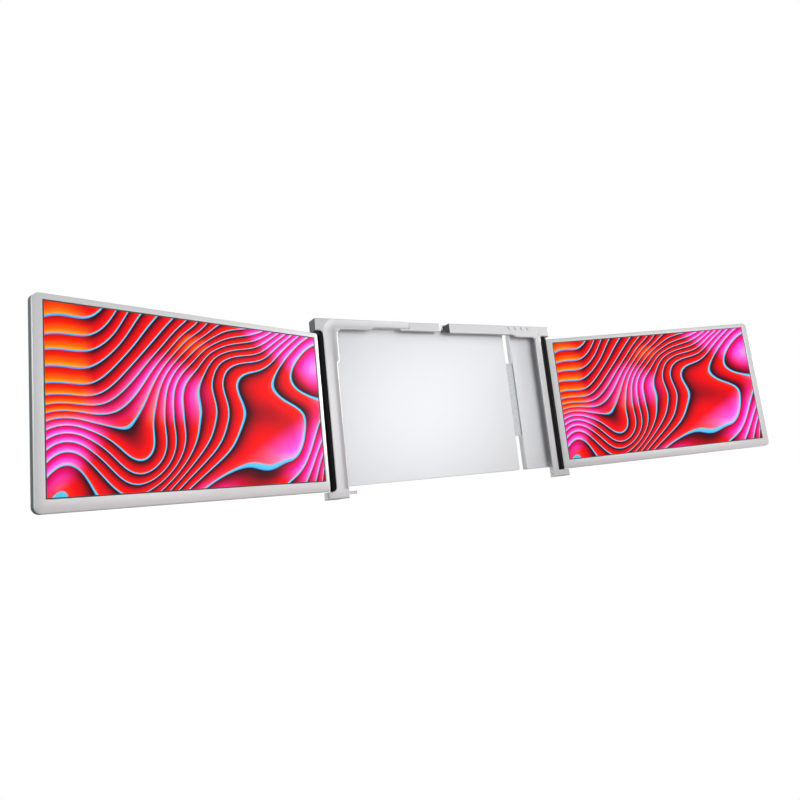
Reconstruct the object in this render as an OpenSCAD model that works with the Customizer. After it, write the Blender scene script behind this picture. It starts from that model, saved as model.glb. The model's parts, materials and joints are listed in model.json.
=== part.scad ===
// Laptop screen extender: two folding side screens on a frame that
// hooks over a laptop's lid and widens to fit it.
// X to the right, Y backwards, Z up along the lid. The origin is the
// middle of the face that the back of the lid rests on.

/* [Screens] */
// Width of each screen's picture
display_w = 293.8; // [240:0.1:340]
// Height of each screen's picture
display_h = 165.2; // [140:0.1:190]
// Bezel beside the hinge
bezel_inner = 6.2; // [5:0.1:12]
// Bezel at the far side
bezel_outer = 9.3; // [5:0.1:15]
// Bezel above the picture
bezel_top = 6.5; // [6:0.1:12]
// Bezel below the picture
bezel_bottom = 12.3; // [8:0.1:20]
// Thickness of a screen, bezel to back
screen_t = 8; // [7.6:0.1:12]
// Radius of a screen's corners at the far side
screen_r = 6.5; // [3:0.1:10]
// Radius of a screen's corners beside the hinge
hinge_corner_r = 2.5; // [2:0.1:6]
// Reach of the right bezel over its spine
right_bezel_reach = 3.9; // [0.5:0.1:4]
// Thickness of the bezel moulding
bezel_t = 2.2; // [1.6:0.1:2.6]
// Wall of the rear cover
shell_t = 1.2; // [0.8:0.1:1.6]
// Width of the dark gasket round the picture
gasket_w = 0.9; // [0.5:0.1:2]

/* [Laptop lid] */
// Width of the lid that the frame grips
lid_w = 312; // [290:1:340]
// Free space beside the lid at each end
lid_gap = 2; // [1:0.1:4]
// Depth of the slot that takes the lid
slot_t = 8; // [6:0.1:12]
// Height that the lid stands above the overhang's underside
slot_rise = 5.1; // [1:0.1:6]

/* [Frame] */
// Thickness of the lips in front of the lid
lip_t = 2.5; // [2.2:0.1:3.5]
// Depth of the frame behind the seat plate's face
housing_t = 9.5; // [9.5:0.1:14]
// Height of the top bar's box
bar_h = 8.8; // [8.6:0.1:12]
// Rise of the top bar at its left end
corner_rise = 1.1; // [0:0.1:3]
// Height of the foot arms
foot_h = 8.6; // [8:0.1:14]
// Depth of the foot arms
foot_d = 14; // [11:0.5:18]
// Thickness of the columns' side walls
col_wall = 5; // [4:0.1:8]
// Reach of the left column's lip over the lid
left_reach = 5; // [3:0.1:8]
// Reach of the right column's lip over the lid
right_reach = 6.6; // [3:0.1:9]
// Extra reach of the corner lips over the lid
corner_reach = 3; // [1:0.1:5]
// Length of the corner lips down the columns
corner_drop = 38; // [20:1:60]
// Length of the left corner lip along the top bar
corner_run = 46; // [30:1:60]
// Length of the right corner lip along the sleeve
right_corner_run = 38; // [20:1:45]
// Drop of the left lip below the slot's top
left_lip_drop = 3.3; // [2:0.1:6]
// Drop of the sleeve's lip below the slot's top
sleeve_lip_drop = 4.2; // [2:0.1:6]
// Drop of the right corner lip below the slot's top
right_lip_drop = 7.2; // [5:0.1:9]
// Radius in the inner corners of the lips
lip_r = 7; // [3:0.1:7]
// Depth of the dish along the left half's face
dish_d = 1; // [0.3:0.05:1]
// Width of the dish, from its deepest line out
dish_wide = 8.5; // [4:0.1:9]
// Width of the dish, from its deepest line in
dish_narrow = 5; // [3:0.1:5.4]
// Radius of the dish's deepest line in the corner
dish_r = 9; // [6:0.1:14]
// Distance from the left hinge axis in to the edge of the column's face
left_face_in = 1.1; // [0.5:0.1:4]
// Distance from the right hinge axis in to the edge of the column's face
right_face_in = 8.7; // [4.6:0.1:9]
// Length of the overhangs past the hinge axes
over_l = 7.5; // [5:0.1:12]
// Length of the feet past the hinge axes
foot_l = 9; // [5:0.1:12]
// Distance from the right hinge axis in to the end cap's seam
cap_l = 11.3; // [10:0.1:16]
// Radius at the ends of the hinge pockets
pocket_r = 5.5; // [2:0.1:6]
// Height of the housings' lower edge above the feet
housing_lift = 14; // [10:0.5:24]

/* [Hinges] */
// Radius of the hinge pins
pin_r = 2; // [1.5:0.05:2.4]
// Depth that each pin goes into the spine
pin_in = 5.5; // [4:0.1:8]
// Radius of the black spines
spine_r = 4.25; // [3.8:0.05:4.6]
// Depth of the hinge axes behind the frame's front
hinge_y = 6; // [5.9:0.1:6.3]
// Distance from a hinge axis to the screen's edge
screen_off = 7.2; // [7.1:0.1:9]
// Distance that a screen's face stands in front of its hinge axis
screen_fwd = 2.75; // [2:0.05:3]
// Angle that the left screen is turned towards the viewer
left_angle = 20.5; // [0:0.5:45]
// Angle that the right screen is turned towards the viewer
right_angle = 22; // [0:0.5:45]
// Thickness of the friction washers
washer_t = 0.45; // [0.3:0.05:0.6]
// Running clearance of moving fits
run_gap = 0.05; // [0.02:0.01:0.1]

/* [Telescope] */
// Position of the sleeve's mouth
sleeve_x = 9.4; // [0:0.1:30]
// End of the left bar, where the bare rail starts
bar_end_x = -50; // [-70:0.5:-40]
// End of the rail inside the sleeve
rail_end_x = 105; // [95:0.5:125]
// Width of the gap between the two back housings
housing_gap = 12; // [11:0.1:20]
// Right edge of the left back housing
housing_x = 100; // [80:1:104]
// Left end of the tongue inside the left housing
tongue_x = 10; // [4:1:40]
// Height of the tongue
tongue_h = 100; // [60:1:110]
// Thickness of the tongue
tongue_t = 1.8; // [1:0.1:2]
// Length of the dark collar's nose
nose_l = 7.9; // [4:0.1:8]

/* [Kickstand] */
// Width of the kickstand
stand_w = 120; // [60:1:130]
// Height of the kickstand's hinge above the feet
stand_z = 142; // [120:1:160]
// Length of the kickstand from hinge to foot
stand_l = 109; // [60:1:110]
// Thickness of the kickstand
stand_t = 3.5; // [2.5:0.1:3.5]
// Middle of the kickstand from the middle of the frame
stand_x = -10; // [-30:1:10]
// Radius of the kickstand's pins
stand_pin_r = 1; // [0.8:0.05:1.2]

/* [Buttons] */
// Distance from the left hinge axis in to the middle button
button_in = 52.5; // [48:0.5:55]
// Distance between two buttons
button_pitch = 20; // [10:0.5:22]
// Radius of a button
button_r = 2.6; // [2:0.1:3.4]
// Travel of a button
button_travel = 0.6; // [0.3:0.05:0.8]

/* [Lid clips] */
// Height of a clip
clip_h = 3.8; // [2.5:0.1:4.4]
// Height of a clip's lower edge above the feet
clip_z = 4; // [2:0.1:4]
// Reach of the left clip past its column's lip
left_clip_out = 9.5; // [4:0.1:10]
// Reach of the right clip past its column's lip
right_clip_out = 3.2; // [1:0.1:9.5]

/* [Hidden] */
$fn = 48;
eps = 0.01;

silver = "#C9CBCD";
black = "#101113";
dark_plastic = "#4A4B4E";
steel = "#A9ADB1";
rubber = "#1C1C1E";
board_green = "#1F5A3C";
brass = "#B08D4A";

// Heights, from the underside of the feet
screen_gap = 0.8;
over_gap = 4;
screen_h = display_h + bezel_top + bezel_bottom;
screen_z = foot_h + screen_gap;
over_z = screen_z + screen_h + over_gap;
slot_top = over_z + slot_rise;
bar_top = slot_top + bar_h;
corner_top = bar_top + corner_rise;
left_lip_z = slot_top - left_lip_drop;
sleeve_lip_z = slot_top - sleeve_lip_drop;
right_lip_z = slot_top - right_lip_drop;
housing_top = slot_top - 0.1;
spine_z0 = foot_h + washer_t + run_gap;
spine_z1 = over_z - washer_t - run_gap;

// Depths, from the frame's front
seat_y = lip_t + slot_t;
frame_d = seat_y + housing_t;
seat_z = 108;

// Widths, from the middle of the lid
lid_half = lid_w / 2;
wall_in = lid_half + lid_gap;
wall_out = wall_in + col_wall;
spine_gap = 0.25;
hinge_x = wall_out + spine_gap + spine_r;
button_x = button_in - hinge_x;
left_lip_x = lid_half - left_reach;
right_lip_x = lid_half - right_reach;
left_corner_x = left_lip_x - corner_reach;
left_face_x = hinge_x - left_face_in;
right_face_x = hinge_x - right_face_in;
over_end = hinge_x + over_l;
foot_end = hinge_x + foot_l;
seam_x = hinge_x - cap_l;

// The walls that the sleeve and the rail are built of
cover_t = 1.5;
sleeve_front = 2;
sleeve_back = 1.4;
sleeve_floor = 1.2;
sleeve_roof = 1.1;
slide_gap = 0.1;
rail_wall = 1.2;
rail_y0 = 4.5;
rail_y1 = frame_d - sleeve_back - slide_gap;
rail_z0 = slot_top + sleeve_floor + slide_gap;
rail_z1 = bar_top - sleeve_roof - slide_gap;
rail_root = 24;
tenon_l = 7;
bore_l = 6;

// Slants and steps of the lips
lip_slant = 6;
corner_slant = 4;
lip_step = 0.4;
close_room = 8.2;
collar_edge_t = 0.6;

// The hollow behind the buttons
cavity_half = 33;
cavity_front = 2;
cavity_x0 = button_x - cavity_half;
cavity_x1 = button_x + cavity_half;
cavity_z0 = slot_top + cover_t;
cavity_z1 = bar_top - cover_t;

// The lid clips' channels
clip_y0 = cover_t - 0.5;
clip_gap = 0.1;
clip_l = 25.5;

// Inside of a screen, front to back
panel_recess = 0.3;
glass_t = bezel_t - panel_recess;
module_t = 1.5;
flange_grow = 1.5;
light_t = 1.5;
light_grow = 1.2;
layer_gap = 0.1;
bracket_t = 1;
screen_w = display_w + bezel_inner + bezel_outer;
front_v = -screen_fwd;
rim_v = front_v + bezel_t;
back_v = front_v + screen_t;
light_v = rim_v + module_t + layer_gap;
bracket_v = light_v + light_t + layer_gap;
web_front = -1;
web_back = bracket_v + bracket_t + 0.5;
display_u = screen_off + bezel_inner;
display_z = screen_z + bezel_bottom;
bracket_h = 20;
bracket_in = 3;
bracket_l = 30;
bracket_inset = 16;
bracket_zs = [screen_z + bracket_inset, screen_z + screen_h - bracket_inset - bracket_h];
bracket_hole_r = 1;
bracket_hole_in = 5;
screen_boss_r = 1.6;
screen_boss_in = 6;
screen_screw_r = 0.8;
screen_head_r = 1.5;
screen_head_t = 0.8;

// Walls, bosses and screws of the back housings, and the kickstand's recess
recess_d = stand_t + 0.5;
recess_wall = 4;
recess_floor = 1.6;
tray_wall = 1.6;
plate_t = 1.5;
tray_y = seat_y + plate_t;
back_wall = 1.5;
boss_r = 2.6;
screw_r = 1;
head_r = 2.1;
head_t = 1;
screw_bite = 1;
slot_w = 0.5;
slot_l = 2.6;
screw_inset = 8;
screw_rise = 6;
mid_screw_x = stand_x + stand_w / 2 + recess_wall + head_r + 1;
stand_gap = 0.4;
stand_pin_out = 3.6;
stand_pin_in = 8;
stand_y = frame_d - 0.2 - stand_t / 2;
tongue_y = tray_y + slide_gap;
guide_t = 1.6;
guide_gap = 0.2;
tongue_z = (housing_lift + housing_top - tongue_h) / 2 + guide_t + guide_gap;
board_x = -wall_in + 12;
board_w = 60;
board_h = 78;
board_z = housing_lift + tray_wall + 0.4;
board_y = tray_y + 1.5;
board_t = 1.5;
board_boss_in = 4;
port_w = 9;
port_t = 3.2;
port_l = 7.4;
port_r = 1.5;
port_wall = 0.35;
port_pitch = 20;
port_x = board_x + 15;
port_z = housing_lift + 0.2;
vent_l = 36;
vent_w = 2;
vent_pitch = 5;
vent_x = board_x + (board_w - vent_l) / 2;
vent_rise = 40;
vent_z = board_z + vent_rise;
right_housing_x = housing_x + housing_gap;

// A block between two corners
module block(lo, hi) {
    translate(lo) cube(hi - lo);
}

// A flat rectangle between two corners
module rect(lo, hi) {
    translate(lo) square(hi - lo);
}

// A rectangle with round corners
module round_rect(lo, hi, r) {
    rect([lo.x + r, lo.y], [hi.x - r, hi.y]);
    rect([lo.x, lo.y + r], [hi.x, hi.y - r]);
    for (x = [lo.x + r, hi.x - r])
        for (y = [lo.y + r, hi.y - r])
            translate([x, y]) circle(r);
}

// The web of a concave corner at a point, open towards the signs
module corner_web(at, sx, sy, r) {
    translate(at) difference() {
        translate([sx < 0 ? -r : 0, sy < 0 ? -r : 0]) square(r);
        translate([sx * r, sy * r]) circle(r);
    }
}

// An upright outline in X and Z, made solid from y0 to y1
module upright(y0, y1) {
    translate([0, y1, 0]) rotate([90, 0, 0]) linear_extrude(y1 - y0) children();
}

// A round bar along Y
module y_bar(x, z, r, y0, y1) {
    translate([x, y1, z]) rotate([90, 0, 0]) cylinder(r = r, h = y1 - y0);
}

// A round bar along X
module x_bar(x0, x1, y, z, r) {
    translate([x0, y, z]) rotate([0, 90, 0]) cylinder(r = r, h = x1 - x0);
}

// From the frame's own measures to the origin at the lid's seat
module seated(shade) {
    color(shade) translate([0, -seat_y, -seat_z]) children();
}

// A screen's own measures: along the screen, through it, and up
module on_hinge(side, angle, shade) {
    seated(shade) translate([side * hinge_x, hinge_y, 0]) rotate([0, 0, -side * angle])
        mirror([side < 0 ? 1 : 0, 0, 0]) children();
}

// ---- Left half of the frame ----

module left_face() {
    run_x = -left_lip_x + corner_run;
    drop_z = left_lip_z - corner_drop;
    rect([-left_face_x, 0], [-left_lip_x, max(over_z, left_lip_z) + 1]);
    rect([-foot_end, 0], [-left_lip_x, foot_h]);
    polygon([[-over_end, over_z], [-over_end, corner_top], [bar_end_x, bar_top],
        [bar_end_x, slot_top], [run_x + lip_slant, slot_top], [run_x, left_lip_z],
        [-left_lip_x, left_lip_z], [-left_face_x, over_z]]);
    polygon([[-left_lip_x - 1, left_lip_z + 1], [-left_corner_x, left_lip_z + 1],
        [-left_corner_x, drop_z], [-left_lip_x, drop_z - corner_slant],
        [-left_lip_x - 1, drop_z - corner_slant]]);
    corner_web([-left_corner_x, left_lip_z], 1, -1, lip_r);
    corner_web([-left_face_x, foot_h], -1, 1, pocket_r);
    corner_web([-left_face_x, over_z], -1, -1, pocket_r);
}

// Half of the dish's cross-section: an arc that is level at its deepest line
module dish_half(w) {
    arc_r = (w * w + dish_d * dish_d) / (2 * dish_d);
    intersection() {
        translate([0, dish_d - arc_r]) circle(arc_r, $fn = 360);
        rect([0, -1], [w + 1, dish_d + 1]);
    }
}

// The dish's cross-section, with its wide side towards plus X and its depth in Y
module dish_section() {
    dish_half(dish_wide);
    mirror([1, 0]) dish_half(dish_narrow);
}

// The dish: up the column, round the corner and along the top bar
module left_dish() {
    line_x = -left_lip_x - dish_narrow - 0.8;
    line_z = left_lip_z + dish_narrow + 0.4;
    foot_z = foot_h + 2;
    turn_x = line_x + dish_r;
    turn_z = line_z - dish_r;
    translate([line_x, 0, foot_z]) linear_extrude(turn_z - foot_z) mirror([1, 0])
        dish_section();
    translate([turn_x, 0, turn_z]) rotate([-90, 0, 0]) rotate([0, 0, 180])
        rotate_extrude(angle = 90) translate([dish_r, 0]) dish_section();
    translate([turn_x, 0, line_z]) rotate([0, 90, 0])
        linear_extrude(bar_end_x - turn_x + 1) mirror([1, 0]) dish_section();
}

module clip_channel(side, lip_x) {
    mirror([side < 0 ? 1 : 0, 0, 0])
        block([lip_x - eps, clip_y0, clip_z - clip_gap],
            [foot_end - 1, lip_t + eps, clip_z + clip_h + clip_gap]);
}

module pin_bores(side) {
    translate([side * hinge_x, hinge_y, foot_h - bore_l]) cylinder(r = pin_r, h = bore_l + eps);
    translate([side * hinge_x, hinge_y, over_z - eps]) cylinder(r = pin_r, h = bore_l + eps);
}

module left_frame() {
    bar_in_x = bar_end_x - rail_root;
    seated(silver) difference() {
        union() {
            upright(0, cover_t) left_face();
            upright(0, lip_t) intersection() {
                left_face();
                rect([-wall_out, 0], [bar_end_x, corner_top + 1]);
            }
            block([-wall_out, 0, 0], [-wall_in, frame_d, over_z + 1]);
            block([-foot_end, 0, 0], [-wall_in, foot_d, foot_h]);
            upright(0, frame_d) polygon([[-over_end, over_z], [-over_end, corner_top],
                [bar_end_x, bar_top], [bar_end_x, slot_top], [-wall_in, slot_top],
                [-wall_in, over_z]]);
        }
        pin_bores(-1);
        left_dish();
        clip_channel(-1, left_lip_x);
        block([cavity_x0, cavity_front, cavity_z0], [cavity_x1, frame_d + eps, cavity_z1]);
        block([bar_in_x - run_gap, rail_y0 - run_gap, rail_z0 - run_gap],
            [bar_end_x + eps, rail_y1 + run_gap, rail_z1 + run_gap]);
        for (i = [-1, 0, 1])
            translate([button_x + i * button_pitch, frame_d / 2, cavity_z1 - 1])
                cylinder(r = button_r + slide_gap, h = corner_top - cavity_z1 + 2);
    }
}

module left_bar_cover() {
    dimple_r = 1.2;
    dimple_in = 4;
    seated(silver) difference() {
        block([cavity_x0 + slide_gap, frame_d - cover_t, cavity_z0 + slide_gap],
            [cavity_x1 - slide_gap, frame_d - slide_gap, cavity_z1 - slide_gap]);
        for (x = [cavity_x0 + dimple_in, cavity_x1 - dimple_in])
            y_bar(x, (cavity_z0 + cavity_z1) / 2, dimple_r, frame_d - cover_t / 2, frame_d + 1);
    }
}

module top_rail() {
    seated(silver) difference() {
        block([bar_end_x - rail_root, rail_y0, rail_z0], [rail_end_x, rail_y1, rail_z1]);
        block([bar_end_x - rail_root - eps, rail_y0 + rail_wall, rail_z0 + rail_wall],
            [rail_end_x + eps, rail_y1 - rail_wall, rail_z1 - rail_wall]);
    }
}

module rail_lip() {
    start_x = bar_end_x + slide_gap;
    nose_slope = nose_l / (rail_y0 - run_gap - collar_edge_t);
    face_end_x = sleeve_x - nose_slope * lip_t - close_room;
    end_x = sleeve_x - nose_l - close_room;
    lip_tuck = 12;
    seated(silver) {
        block([bar_end_x - lip_tuck, lip_step, left_lip_z + lip_step],
            [face_end_x, lip_t, slot_top - run_gap]);
        block([start_x, lip_step, slot_top - 1], [face_end_x, lip_t, bar_top - lip_step]);
        block([start_x, lip_t - eps, slot_top], [end_x, rail_y0, bar_top - lip_step]);
    }
}

module rail_slider() {
    slider_l = 12;
    rivet_r = 1;
    rivet_in = 3;
    x0 = rail_end_x - slider_l - 1;
    x1 = rail_end_x - 1;
    seated(dark_plastic) difference() {
        block([x0, sleeve_front + slide_gap, rail_z0 + 0.2], [x1, rail_y0, rail_z1 - 0.2]);
        for (x = [x0 + rivet_in, x1 - rivet_in])
            y_bar(x, (rail_z0 + rail_z1) / 2, rivet_r, sleeve_front, (sleeve_front + rail_y0) / 2);
    }
}

module lip_pads(side, lip_x) {
    pad_t = 0.6;
    pad_in = 0.6;
    pad_r = 1.2;
    pad_z0 = housing_lift + 8;
    pad_z1 = left_lip_z - 14;
    mirror([side < 0 ? 1 : 0, 0, 0])
        upright(lip_t, lip_t + pad_t)
            round_rect([lip_x + pad_in, pad_z0], [lid_half - pad_in, pad_z1], pad_r);
}

module left_lip_pad() {
    seated(rubber) lip_pads(-1, left_lip_x);
}

module hinge_pins(side) {
    seated(steel) for (z = [foot_h - bore_l, over_z - washer_t - pin_in])
        translate([side * hinge_x, hinge_y, z])
            cylinder(r = pin_r, h = bore_l + washer_t + pin_in);
}

module hinge_washers(side) {
    seated(brass) for (z = [foot_h, over_z - washer_t])
        translate([side * hinge_x, hinge_y, z]) difference() {
            cylinder(r = spine_r - 0.3, h = washer_t);
            translate([0, 0, -1]) cylinder(r = pin_r, h = washer_t + 2);
        }
}

module left_hinge_pins() {
    hinge_pins(-1);
}

module left_hinge_washers() {
    hinge_washers(-1);
}

// Places of the screws that hold the left back cover
cover_screws = [for (x = [-wall_in + screw_inset, mid_screw_x, housing_x - screw_inset])
    for (z = [housing_lift + screw_rise, housing_top - screw_rise]) [x, z]];

module seat_plate() {
    seated(silver) difference() {
        upright(seat_y, tray_y)
            round_rect([-wall_in, housing_lift], [housing_x, housing_top], 2);
        for (p = cover_screws) y_bar(p.x, p.y, screw_r, tray_y - screw_bite, tray_y + eps);
    }
}

module stand_recess(grow, y0) {
    block([stand_x - stand_w / 2 - grow, y0, stand_z - stand_l - grow],
        [stand_x + stand_w / 2 + grow, frame_d + (grow > 0 ? 0 : 1),
        stand_z + stand_t / 2 + stand_gap + grow]);
}

module back_cover() {
    wall = tray_wall;
    recess_y = frame_d - recess_d;
    seated(silver) difference() {
        union() {
            difference() {
                upright(tray_y, frame_d)
                    round_rect([-wall_in, housing_lift], [housing_x, housing_top], 2);
                block([-wall_in + wall, tray_y - 1, housing_lift + wall],
                    [housing_x - wall, frame_d - back_wall, housing_top - wall]);
            }
            stand_recess(recess_wall, recess_y - recess_floor);
            for (z = [tongue_z - guide_gap - guide_t, tongue_z + tongue_h + guide_gap])
                block([tongue_x + 12, tray_y, z], [housing_x - eps, frame_d - eps, z + guide_t]);
            for (p = cover_screws) y_bar(p.x, p.y, boss_r, tray_y, frame_d - eps);
            for (x = [board_x + board_boss_in, board_x + board_w - board_boss_in])
                for (z = [board_z + board_boss_in, board_z + board_h - board_boss_in])
                    y_bar(x, z, boss_r, board_y + board_t, frame_d - eps);
        }
        stand_recess(0, recess_y);
        block([housing_x - wall - eps, tray_y - 1, tongue_z - slide_gap],
            [housing_x + 1, tongue_y + tongue_t + slide_gap, tongue_z + tongue_h + slide_gap]);
        for (p = cover_screws) {
            y_bar(p.x, p.y, screw_r, tray_y - 1, frame_d + 1);
            y_bar(p.x, p.y, head_r, frame_d - head_t, frame_d + 1);
        }
        for (i = [0, 1])
            translate([port_x + i * port_pitch, board_y + board_t + port_t / 2, housing_lift - 1])
                linear_extrude(wall + 1 + eps) port_outline(slide_gap);
        for (i = [0:6])
            upright(frame_d - back_wall - eps, frame_d + 1)
                round_rect([vent_x, vent_z + i * vent_pitch],
                    [vent_x + vent_l, vent_z + i * vent_pitch + vent_w], vent_w / 2 - 0.1);
        x_bar(stand_x - stand_w / 2 - stand_pin_out, stand_x + stand_w / 2 + stand_pin_out,
            stand_y, stand_z, stand_pin_r + run_gap);
    }
}

// Chips on the main board: place, width, height and thickness
board_chips = [[18, 40, 16, 16, 1], [40, 44, 10, 8, 1], [10, 18, 6, 6, 0.8], [30, 18, 6, 6, 0.8]];

module main_board() {
    seated(board_green) {
        block([board_x, board_y, board_z], [board_x + board_w, board_y + board_t, board_z + board_h]);
        for (c = board_chips)
            translate([board_x + c[0], board_y - c[4], board_z + c[1]]) cube([c[2], c[4] + eps, c[3]]);
    }
}

module port_outline(grow) {
    round_rect([-port_w / 2 - grow, -port_t / 2 - grow], [port_w / 2 + grow, port_t / 2 + grow],
        port_r + grow);
}

module usb_c_ports() {
    seated(steel) for (i = [0, 1])
        translate([port_x + i * port_pitch, board_y + board_t + port_t / 2, port_z]) difference() {
            linear_extrude(port_l) port_outline(0);
            translate([0, 0, -1]) linear_extrude(port_l - 1) port_outline(-port_wall);
        }
}

// The button board, its switches and the buttons above them
button_board_t = 1;
switch_w = 4;
switch_t = 1.1;
stem_r = 1.4;
flange_t = 1;
flange_out = 0.8;
button_proud = 0.3;
switch_top = cavity_z0 + button_board_t + switch_t;
stem_z = switch_top + run_gap + button_travel;
flange_z = cavity_z1 - flange_t - slide_gap;

module button_board() {
    board_half = 5;
    board_gap = 2;
    mid_y = frame_d / 2;
    seated(board_green) {
        block([cavity_x0 + board_gap, mid_y - board_half, cavity_z0],
            [cavity_x1 - board_gap, mid_y + board_half, cavity_z0 + button_board_t]);
        for (i = [-1, 0, 1])
            translate([button_x + i * button_pitch - switch_w / 2, mid_y - switch_w / 2,
                switch_top - switch_t - eps])
                cube([switch_w, switch_w, switch_t + eps]);
    }
}

module button(i) {
    seated(dark_plastic) translate([button_x + i * button_pitch, frame_d / 2, 0]) {
        translate([0, 0, stem_z]) cylinder(r = stem_r, h = flange_z - stem_z + eps);
        translate([0, 0, flange_z]) cylinder(r = button_r + flange_out, h = flange_t);
        translate([0, 0, flange_z + flange_t / 2])
            cylinder(r = button_r, h = corner_top + button_proud - flange_z - flange_t / 2);
    }
}

module power_button() {
    button(-1);
}

module plus_button() {
    button(0);
}

module minus_button() {
    button(1);
}

// The cross-shaped recess in a screw's head
module cross_slot(at, l, w, y0) {
    block([at.x - l / 2, y0, at.y - w / 2], [at.x + l / 2, y0 + 2, at.y + w / 2]);
    block([at.x - w / 2, y0, at.y - l / 2], [at.x + w / 2, y0 + 2, at.y + l / 2]);
}

module cover_screw_set(places, tip_y) {
    seated(steel) for (p = places) difference() {
        union() {
            y_bar(p.x, p.y, screw_r, tip_y, frame_d - 0.5);
            y_bar(p.x, p.y, head_r, frame_d - head_t, frame_d - 0.1);
        }
        cross_slot(p, slot_l, slot_w, frame_d - 0.6);
    }
}

module back_cover_screws() {
    cover_screw_set(cover_screws, tray_y - screw_bite);
}

// ---- Right half of the frame ----

// The four slanted windows in the sleeve, in X and Z
mark_count = 4;
mark_in = 53.2;
mark_pitch = 10.7;
mark_w = 1.3;
mark_h = 4;
mark_lean = 2.9;
mark_rise = 2.6;

module indicator_marks(grow) {
    for (i = [0:mark_count - 1])
        translate([seam_x - mark_in + i * mark_pitch, slot_top + mark_rise])
            polygon([[-grow, mark_h + grow], [mark_w + grow, mark_h + grow],
                [mark_lean + mark_w + grow, -grow], [mark_lean - grow, -grow]]);
}

module right_sleeve() {
    step_x = right_lip_x - right_corner_run;
    seated(silver) difference() {
        union() {
            block([sleeve_x, 0, slot_top], [seam_x, frame_d, bar_top]);
            upright(0, lip_t) {
                polygon([[sleeve_x, slot_top + 1], [sleeve_x, sleeve_lip_z],
                    [step_x, sleeve_lip_z], [step_x + lip_slant, right_lip_z],
                    [seam_x, right_lip_z], [seam_x, slot_top + 1]]);
                corner_web([right_lip_x, right_lip_z], -1, -1, lip_r - 2);
            }
        }
        block([sleeve_x - 1, sleeve_front, slot_top + sleeve_floor],
            [seam_x + 1, frame_d - sleeve_back, bar_top - sleeve_roof]);
        upright(-1, cover_t) indicator_marks(0);
        translate([0, 0, -eps]) block([right_lip_x, -1, right_lip_z - lip_r],
            [seam_x + 1, lip_t + 1, right_lip_z]);
    }
}

module sleeve_collar() {
    tip_x = sleeve_x - nose_l;
    back_y = rail_y0 - run_gap;
    nose_rise = 2;
    nose_h = bar_h / 2 + 0.6;
    plug_l = 10;
    seated(dark_plastic) {
        difference() {
            intersection() {
                linear_extrude(bar_top) polygon([[sleeve_x, 0], [sleeve_x, back_y],
                    [tip_x, back_y], [tip_x, back_y - collar_edge_t]]);
                upright(0, back_y) polygon([[sleeve_x, sleeve_lip_z], [sleeve_x, bar_top],
                    [tip_x, slot_top + nose_h], [tip_x, sleeve_lip_z + nose_rise]]);
            }
            block([tip_x - 1, lip_t, 0], [sleeve_x + 1, back_y + 1, slot_top + 0.2]);
        }
        block([sleeve_x - eps, sleeve_front, slot_top + sleeve_floor],
            [sleeve_x + plug_l, back_y, bar_top - sleeve_roof]);
    }
}

module right_end_cap() {
    seated(silver) difference() {
        union() {
            block([seam_x, 0, over_z], [over_end, frame_d, bar_top]);
            block([seam_x - tenon_l, sleeve_front, slot_top + sleeve_floor],
                [seam_x + eps, frame_d - sleeve_back, bar_top - sleeve_roof]);
        }
        pin_bores(1);
        block([seam_x - eps, lip_t, 0], [wall_in, frame_d + 1, slot_top]);
    }
}

module right_column() {
    seated(silver) difference() {
        union() {
            upright(0, cover_t) rect([right_lip_x, 0], [foot_end, foot_h]);
            upright(0, lip_t) {
                rect([right_lip_x, 0], [right_face_x, right_lip_z]);
                rect([seam_x, right_lip_z - 1], [right_face_x, over_z]);
            }
            block([wall_in, lip_t - 1, 0], [right_face_x, frame_d, over_z]);
            block([wall_in, lip_t - 1, 0], [wall_out, frame_d, over_z]);
            block([wall_in, 0, 0], [foot_end, foot_d, foot_h]);
        }
        pin_bores(1);
        clip_channel(1, right_lip_x);
    }
}

module indicator_windows() {
    window_in = 0.2;
    seated(dark_plastic) upright(window_in, cover_t) indicator_marks(-run_gap);
}

tongue_inset = 15;
tongue_screws = [for (x = [right_housing_x + 10, wall_in - 12])
    for (z = [tongue_z + tongue_inset, tongue_z + tongue_h - tongue_inset]) [x, z]];
right_screws = [for (z = [housing_lift + screw_rise, housing_top - screw_rise])
    [(right_housing_x + wall_in) / 2, z]];

module right_seat_plate() {
    seated(silver) difference() {
        upright(seat_y, tray_y)
            round_rect([right_housing_x, housing_lift], [wall_in, housing_top], 2);
        for (p = right_screws) y_bar(p.x, p.y, screw_r, tray_y - screw_bite, tray_y + eps);
    }
}

module right_back_cover() {
    wall = tray_wall;
    seated(silver) difference() {
        union() {
            difference() {
                upright(tray_y, frame_d)
                    round_rect([right_housing_x, housing_lift], [wall_in, housing_top], 2);
                block([right_housing_x + wall, tray_y - 1, housing_lift + wall],
                    [wall_in - wall, frame_d - back_wall, housing_top - wall]);
            }
            for (p = tongue_screws) y_bar(p.x, p.y, boss_r, tongue_y + tongue_t, frame_d - eps);
            for (p = right_screws) y_bar(p.x, p.y, boss_r, tray_y, frame_d - eps);
        }
        block([right_housing_x - 1, tray_y - 1, tongue_z - slide_gap],
            [right_housing_x + wall + eps, tongue_y + tongue_t + slide_gap,
            tongue_z + tongue_h + slide_gap]);
        for (p = concat(tongue_screws, right_screws)) {
            y_bar(p.x, p.y, screw_r, tray_y - 1, frame_d + 1);
            y_bar(p.x, p.y, head_r, frame_d - head_t, frame_d + 1);
        }
    }
}

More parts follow.
